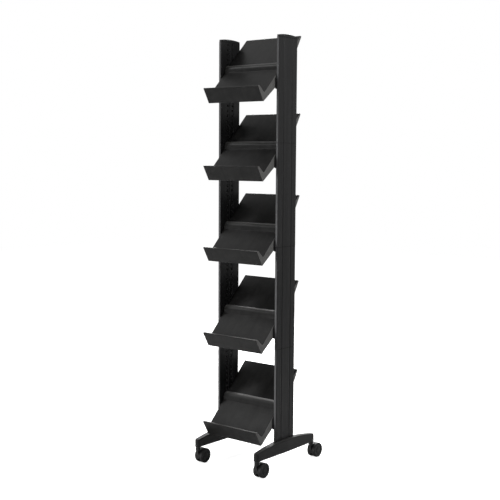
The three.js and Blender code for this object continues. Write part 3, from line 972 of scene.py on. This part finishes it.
@dataclass
class Shelves:
    """Five tilted shelf mouldings: lip, trough, two panels, a rounded ledge, end walls and ribs."""

    count: int = 5
    wall: float = 3 * MM
    half_width: float = 134.3 * MM
    slope: float = math.radians(45.0)
    lip_height: float = 57.5 * MM
    lip_lean: float = 33.5 * MM
    lip_top: float = 11 * MM
    lip_cap: float = 7.5 * MM
    trough: Point = (4.7 * MM, 33 * MM)
    trough_round: float = 6 * MM
    lower_panel: float = 126 * MM
    ledge_rise: float = 29.7 * MM
    ledge_tread: float = 25.2 * MM
    foot_round: float = 3 * MM
    nose_round: float = 21 * MM
    back_round: float = 2 * MM
    upper_panel: float = 155.6 * MM
    tail_edge: float = 6 * MM
    tail_round: float = 1.8 * MM
    keel_behind: float = 37 * MM
    keel_depth: float = 69 * MM
    keel_round: float = 45 * MM
    rib_offset: float = 45 * MM
    rib: float = 2.4 * MM
    small_round: float = 2.2 * MM
    edge: float = 0.7 * MM

    def landmarks(self) -> tuple[Point, Point, Point, Point]:
        """Main points of the profile, (depth, height) from the apex under the trough.

        Returns:
            The ledge's foot and back, the tail of the upper panel, and the keel behind it.
        """
        run, rise = math.cos(self.slope), math.sin(self.slope)
        foot = (self.trough[0] + self.lower_panel * run, self.trough[1] + self.lower_panel * rise)
        back = (foot[0] + self.ledge_tread, foot[1] + self.ledge_rise)
        tail = (back[0] + self.upper_panel * run, back[1] + self.upper_panel * rise)
        keel = (back[0] + self.keel_behind, back[1] + self.keel_behind * rise / run - self.keel_depth)
        return foot, back, tail, keel

    def outside(self) -> list[Point]:
        """Side outline of a shelf.

        Returns:
            Its points (depth, height).
        """
        foot, back, tail, keel = self.landmarks()
        small = self.small_round
        run, rise = math.cos(self.slope), math.sin(self.slope)
        return rounded_outline([
            (0.0, 0.0, small),
            (-self.lip_lean, self.lip_height, small),
            (-self.lip_lean + self.lip_top, self.lip_height, small),
            (*self.trough, self.trough_round),
            (*foot, self.foot_round),
            (foot[0], back[1], self.nose_round),
            (*back, self.back_round),
            (*tail, self.tail_round),
            (tail[0] + self.tail_edge * rise, tail[1] - self.tail_edge * run, self.tail_round),
            (*keel, self.keel_round),
        ])

    def inside(self) -> list[Point]:
        """Outline of the space under the skin, open below.

        Returns:
            Its points (depth, height).
        """
        foot, back, tail, _ = self.landmarks()
        wall = self.wall
        rise = math.tan(self.slope)
        drop = wall / math.cos(self.slope)
        lean = self.lip_lean / self.lip_height
        ceiling = self.lip_height - self.lip_cap
        back_lean = (self.trough[0] + self.lip_lean - self.lip_top) / (self.lip_height - self.trough[1])
        under = -self.lip_height

        def lip_front(z: float) -> float:
            """Depth of the lip's front wall inside."""
            return wall * math.hypot(1.0, lean) - z * lean

        lip_back = self.trough[0] - (ceiling - self.trough[1]) * back_lean - wall * math.hypot(1.0, back_lean)
        return rounded_outline([
            (lip_front(under), under, 0.0),
            (lip_front(ceiling), ceiling, 0.0),
            (lip_back, ceiling, 0.0),
            (self.trough[0], self.trough[1] - drop, self.trough_round - wall),
            (foot[0] + wall, foot[1] + wall * rise - drop, 0.0),
            (foot[0] + wall, back[1] - wall, self.nose_round - wall),
            (back[0] + drop - wall, back[1] - wall, 0.0),
            (tail[0] - wall, tail[1] - wall * rise - drop, 0.0),
            (tail[0] + self.keel_depth, tail[1] - drop, 0.0),
            (tail[0] + self.keel_depth, under, 0.0),
        ])

    def shelf(self) -> Mesh:
        """Model a shelf about x = 0 with its apex on the X axis.

        Returns:
            Its mesh.
        """
        whole = prism(self.outside(), -self.half_width, self.half_width, Axis.X)
        inner = self.half_width - self.wall
        near, far = self.rib_offset - self.rib / 2.0, self.rib_offset + self.rib / 2.0
        spans = ((-inner, -far), (-near, near), (far, inner))
        bays = [prism(self.inside(), low, high, Axis.X) for low, high in spans]
        made = eased(combine(whole, bays, "DIFFERENCE"), self.edge)
        self.mark_ledge_highlight(made)
        return made

    def mark_ledge_highlight(self, mesh: Mesh) -> None:
        """Mark the nose of the ledge, where a paler colour paints the highlight that light puts on it.

        Args:
            mesh: the shelf, with its apex on the X axis.
        """
        foot, back, _, _ = self.landmarks()
        highlight_marks = mesh.attributes.new(LEDGE_HIGHLIGHT, "FLOAT", "POINT")
        for vertex, mark in zip(mesh.vertices, highlight_marks.data):
            deep = foot[0] - self.edge < vertex.co.y < back[0] - self.edge
            high = foot[1] + 2.0 * self.small_round < vertex.co.z < back[1] + self.edge
            mark.value = 1.0 if deep and high else 0.0

    def build(self, finish: Material) -> None:
        """Make every shelf.

        Args:
            finish: the shelf's material.
        """
        shelf = self.shelf()
        lip = min(v.co.y for v in shelf.vertices)
        apex = min(v.co.z for v in shelf.vertices)
        for number in range(1, self.count + 1):
            node = f"shelf_{number}"
            low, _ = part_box(node)
            shift = Vector((0.0, low.y - lip, low.z - apex))
            add_piece(shelf, Side.RIGHT, shift, f"trough_shelf_{number}", node, RACK_BODY, finish)


@dataclass
class Feet:
    """Two low arched feet with round tips."""

    length: float = 374 * MM
    hub_width: float = 31 * MM
    tip_width: float = 23 * MM
    underside: float = 69 * MM
    hub_top: float = 118 * MM
    tip_top: float = 99 * MM
    top_round: float = 5 * MM
    top_share: float = 0.9
    foot_round: float = 1.2 * MM
    foot_share: float = 0.4
    facets: int = 5
    stations: int = 22
    tip_stations: int = 9
    tip_sweep: float = math.radians(84.0)
    pocket_floor: float = 81.7 * MM
    pocket_wide: float = 11 * MM
    pocket_deep: float = 116 * MM
    pocket_centre: float = 11.5 * MM
    pocket_inner_round: float = 1.5 * MM
    pocket_outer_round: float = 3.5 * MM
    bore: float = 5.3 * MM
    bore_height: float = 20.3 * MM

    @property
    def tip(self) -> float:
        """Radius of a round tip."""
        return self.tip_width / 2.0

    @property
    def stem(self) -> float:
        """Distance of a caster stem from the middle."""
        return self.length / 2.0 - self.tip

    def ring(self, y: float) -> list[Spot]:
        """Section of the foot, flat below and rounded above: a straight taper, then a round tip.

        Args:
            y: distance from the middle.

        Returns:
            Equally many points for every distance.
        """
        hub = self.hub_width / 2.0
        taper = hub + (self.tip - hub) * min(abs(y) / self.stem, 1.0)
        half = math.sqrt(taper**2 - max(abs(y) - self.stem, 0.0) ** 2)
        ease = min(self.top_round, self.top_share * half)
        low = min(self.foot_round, self.foot_share * half)
        top = self.hub_top - (self.hub_top - self.tip_top) * (2.0 * y / self.length) ** 2
        base = self.underside
        corners = [(-half, base, low), (half, base, low), (half, top, ease), (-half, top, ease)]
        return [(x, y, z) for x, z in rounded_outline(corners, self.facets)]

    def foot(self) -> Mesh:
        """Model a foot about x = 0, y = 0, with its pocket and stem bores.

        Returns:
            Its mesh.
        """
        turns = [self.tip_sweep * i / self.tip_stations for i in range(1, self.tip_stations + 1)]
        half = [self.stem * i / self.stations for i in range(self.stations + 1)]
        half += [self.stem + self.tip * math.sin(turn) for turn in turns]
        arm = lofted([self.ring(y) for y in [-y for y in reversed(half[1:])] + half])
        deep = self.pocket_deep / 2.0 + FIT_GAP
        low = -self.pocket_centre - FIT_GAP
        high = low + self.pocket_wide + 2.0 * FIT_GAP
        inner, outer = self.pocket_inner_round, self.pocket_outer_round
        corners = [(low, -deep, inner), (high, -deep, outer), (high, deep, outer), (low, deep, inner)]
        tools = [prism(rounded_outline(corners), self.pocket_floor, self.hub_top + OVERLAP, Axis.Z)]
        start, stop = self.underside - OVERLAP, self.underside + self.bore_height
        tools += [pin(self.bore, start, stop, Axis.Z, Vector((0.0, y, 0.0))) for y in (-self.stem, self.stem)]
        return combine(arm, tools, "DIFFERENCE")

    def build(self, finish: Material) -> None:
        """Make both feet.

        Args:
            finish: the foot's material.
        """
        foot = self.foot()
        for side in Side:
            node = f"{side.label}_foot"
            low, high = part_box(node)
            middle = (low + high) / 2.0
            shift = Vector((middle.x, middle.y, 0.0))
            add_piece(foot, side, shift, f"{side.label}_arched_foot", node, RACK_BODY, finish)


@dataclass
class Casters:
    """Four twin-wheel swivel casters; each is drawn about its stem with the wheels trailing to +Y."""

    wheel_radius: float = 29 * MM
    wheel_width: float = 13 * MM
    wheel_round: float = 4 * MM
    wheel_facets: int = 6
    wheel_edge: float = 0.8 * MM
    rim_step: float = 1.28 * MM
    dish: float = 1.6 * MM
    dish_steps: Sequence[Point] = (
        (0.72, 1.0), (0.69, 1.7), (0.45, 1.7), (0.42, 0.8), (0.36, 0.5), (0.0, 0.3),
    )
    bore_end: float = 4.8 * MM
    axle_radius: float = 3 * MM
    trail: float = 28 * MM
    hood: float = 9 * MM
    hood_radius: float = 28.5 * MM
    hood_from: float = math.radians(15.0)
    hood_to: float = math.radians(200.0)
    hood_facets: int = 40
    hub_radius: float = 11 * MM
    boss_radius: float = 9.5 * MM
    boss_top: float = 66.7 * MM
    boss_depth: float = 13 * MM
    stem_radius: float = 5 * MM
    stem_in_boss: float = 11 * MM
    sides: int = 56
    edge: float = 0.8 * MM

    def body(self) -> Mesh:
        """Model the hood between the wheels and the stem boss of one caster.

        Returns:
            Their mesh.
        """
        half = self.hood / 2.0
        back, level, top = self.trail, self.wheel_radius, self.boss_top
        step = (self.hood_to - self.hood_from) / self.hood_facets
        turns = [self.hood_from + step * k for k in range(self.hood_facets + 1)]
        reach = self.hood_radius
        fan = [(back, level), *((back + reach * math.cos(t), level + reach * math.sin(t)) for t in turns)]
        neck = top - self.boss_depth
        over = neck + OVERLAP
        gusset = [(-self.boss_radius, over), (0.0, level), (back, level), (back, over)]
        axle = Vector((0.0, back, level))
        stem = Vector()
        joined = [
            prism(gusset, -half, half, Axis.X),
            pin(self.hub_radius, -half, half, Axis.X, axle),
            pin(self.boss_radius, neck, top, Axis.Z, stem),
        ]
        bores = [
            pin(self.stem_radius + FIT_GAP, top - self.stem_in_boss, top + OVERLAP, Axis.Z, stem),
            pin(self.axle_radius + FIT_GAP, -self.hood, self.hood, Axis.X, axle),
        ]
        fender = prism(fan, -half, half, Axis.X)
        return eased(combine(combine(fender, joined, "UNION"), bores, "DIFFERENCE"), self.edge)

    def wheel(self) -> Mesh:
        """Model a wheel on its axle line, with its inner side at x = 0.

        Returns:
            Its mesh.
        """
        width, radius, ease = self.wheel_width, self.wheel_radius, self.wheel_round
        bore = self.axle_radius + FIT_GAP
        rim = radius - ease
        turns = [QUARTER * k / self.wheel_facets for k in range(self.wheel_facets, -1, -1)]
        profile = [
            (0.0, width - self.bore_end),
            (bore, width - self.bore_end),
            (bore, 0.0),
            (radius - self.wheel_edge, 0.0),
            (radius, self.wheel_edge),
            *((rim + ease * math.sin(t), width - ease * (1.0 - math.cos(t))) for t in turns),
            (rim - self.rim_step, width - self.dish),
            *((share * rim, width - deep * self.dish) for share, deep in self.dish_steps),
        ]
        return turned(profile, self.sides)

    def build(self, body: Material, wheel: Material, stem: Material, axle: Material) -> None:
        """Make the bodies and wheels of all four casters, and dress their stems and axles.

        Args:
            body: finish of the bodies.
            wheel: finish of the wheels.
            stem: finish of the stems.
            axle: finish of the axles.
        """
        hood, disc = self.body(), self.wheel()
        for end in End:
            for side in Side:
                name = f"{end.value}_{side.label}_caster"
                low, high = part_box(f"{name}_stem")
                middle = (low + high) / 2.0
                shift = Vector((middle.x, middle.y, 0.0))
                add_piece(hood, side, shift, f"{name}_hood", f"{name}_body", f"{name}_fork", body)
                for which, outward in (("outer", side), ("inner", Side(-side.value))):
                    node = f"{name}_{which}_wheel"
                    low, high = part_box(node)
                    middle = (low + high) / 2.0
                    start = low.x if outward is Side.RIGHT else high.x
                    shift = Vector((start, middle.y, middle.z))
                    add_piece(disc, outward, shift, f"{node}_disc", node, node, wheel)
                dress_node(f"{name}_stem", stem)
                dress_node(f"{name}_axle", axle)


@dataclass
class Fixings:
    """The shelf brackets and the foot screws, which keep their CAD shapes."""

    brackets: int = 5
    bracket_edge: float = 0.5 * MM

    def build(self, bracket: Material, screw: Material) -> None:
        """Dress the brackets and screws.

        Args:
            bracket: finish of the brackets.
            screw: finish of the screws.
        """
        for side in Side:
            for number in range(1, self.brackets + 1):
                dress_node(f"{side.label}_bracket_{number}", bracket, self.bracket_edge)
            dress_node(f"{side.label}_foot_screw", screw)


@dataclass(frozen=True)
class Lamp:
    """A soft square lamp: its place, its side in metres and its power in watts."""

    name: str
    place: Spot
    size: float
    power: float


@dataclass
class Studio:
    """Pale floor, white surroundings, soft lamps and the camera."""

    floor_size: float = 16.0
    floor_colour: Colour = (0.9, 0.9, 0.9)
    floor_roughness: float = 0.9
    floor_glow: float = 0.8
    white: Colour = (1.0, 1.0, 1.0)
    ambient: float = 0.3
    camera_place: Spot = (2.4005, -3.0285, 1.2080)
    camera_yaw: float = math.radians(38.988)
    camera_pitch: float = math.radians(5.331)
    camera_roll: float = math.radians(0.353)
    camera_lens: float = 70.645
    sensor: float = 36.0
    target: Spot = (0.0, 0.0, 0.9)
    lamps: Sequence[Lamp] = (
        Lamp("key_softbox", (-3.1, -2.7, 5.5), 1.6, 118.0),
        Lamp("front_softbox", (-0.6, -3.2, 0.3), 0.6, 78.0),
        Lamp("right_softbox", (1.9, -0.05, 2.3), 0.8, 26.0),
        Lamp("back_softbox", (-1.5, 2.1, 2.4), 0.8, 90.0),
    )

    def floor(self) -> None:
        """Lay the pale floor."""
        bm = bmesh.new()
        half = self.floor_size / 2.0
        corners = ((-half, -half), (half, -half), (half, half), (-half, half))
        bm.faces.new([bm.verts.new((x, y, 0.0)) for x, y in corners])
        ground = new_object(mesh_from(bm), "studio_floor")
        material, tree, shader = new_material("pale_floor")
        seen = tree.add("ShaderNodeLightPath").outputs["Is Camera Ray"]
        tree.fill(shader, {
            "Base Color": (*self.floor_colour, 1.0),
            "Roughness": self.floor_roughness,
            "Specular IOR Level": 0.0,
            "Emission Color": (*self.white, 1.0),
            "Emission Strength": tree.math("MULTIPLY", seen, self.floor_glow),
        })
        ground.data.materials.append(material)

    def surroundings(self) -> None:
        """White to the eye and in reflections, softer as a light."""
        world = bpy.data.worlds.new("studio_white")
        bpy.context.scene.world = world
        world.use_nodes = True
        tree = NodeTree(world.node_tree)
        path = tree.add("ShaderNodeLightPath").outputs
        seen = tree.math("ADD", path["Is Camera Ray"], path["Is Glossy Ray"])
        seen = tree.math("ADD", seen, path["Is Transmission Ray"], clamp=True)
        strength = tree.math("MULTIPLY_ADD", seen, 1.0 - self.ambient, self.ambient)
        back = world.node_tree.nodes["Background"]
        tree.fill(back, {"Color": (*self.white, 1.0), "Strength": strength})

    def lights(self) -> None:
        """Hang the soft lamps, each turned to the middle of the rack."""
        for lamp in self.lamps:
            light = bpy.data.lights.new(lamp.name, "AREA")
            light.size = lamp.size
            light.energy = lamp.power
            made = new_object(light, lamp.name)
            aim = Vector(self.target) - Vector(lamp.place)
            made.rotation_euler = aim.to_track_quat("-Z", "Y").to_euler()
            made.location = lamp.place

    def camera(self) -> None:
        """Stand the camera at the photograph's viewing angle."""
        lens = bpy.data.cameras.new("photo_camera")
        lens.sensor_width = self.sensor
        lens.lens = self.camera_lens
        made = new_object(lens, "photo_camera")
        turn = Matrix.Rotation(self.camera_yaw, 4, "Z") @ Matrix.Rotation(QUARTER - self.camera_pitch, 4, "X")
        turn = turn @ Matrix.Rotation(self.camera_roll, 4, "Z")
        made.matrix_world = Matrix.Translation(self.camera_place) @ turn
        bpy.context.scene.camera = made

    def build(self) -> None:
        """Set the whole studio up."""
        bpy.context.scene.view_settings.view_transform = "Standard"
        self.camera()
        self.floor()
        self.surroundings()
        self.lights()


def main() -> None:
    """Build the studio and every sub-assembly, in order."""
    logging.basicConfig(level=logging.INFO, format="%(name)s: %(message)s")
    Studio().build()
    effects = Effects()
    steel = PlatedSteel().make(effects)
    black_steel = BLACK_STEEL.make(effects)
    uprights = Uprights()
    uprights.build(uprights.seamed(UPRIGHT_FINISH).make(effects))
    Shelves().build(SHELF_FINISH.make(effects))
    Feet().build(FOOT_FINISH.make(effects))
    Casters().build(CASTER_FINISH.make(effects), WHEEL_FINISH.make(effects), black_steel, steel)
    Fixings().build(BRACKET_FINISH.make(effects), steel)


if __name__ == "__main__":
    main()
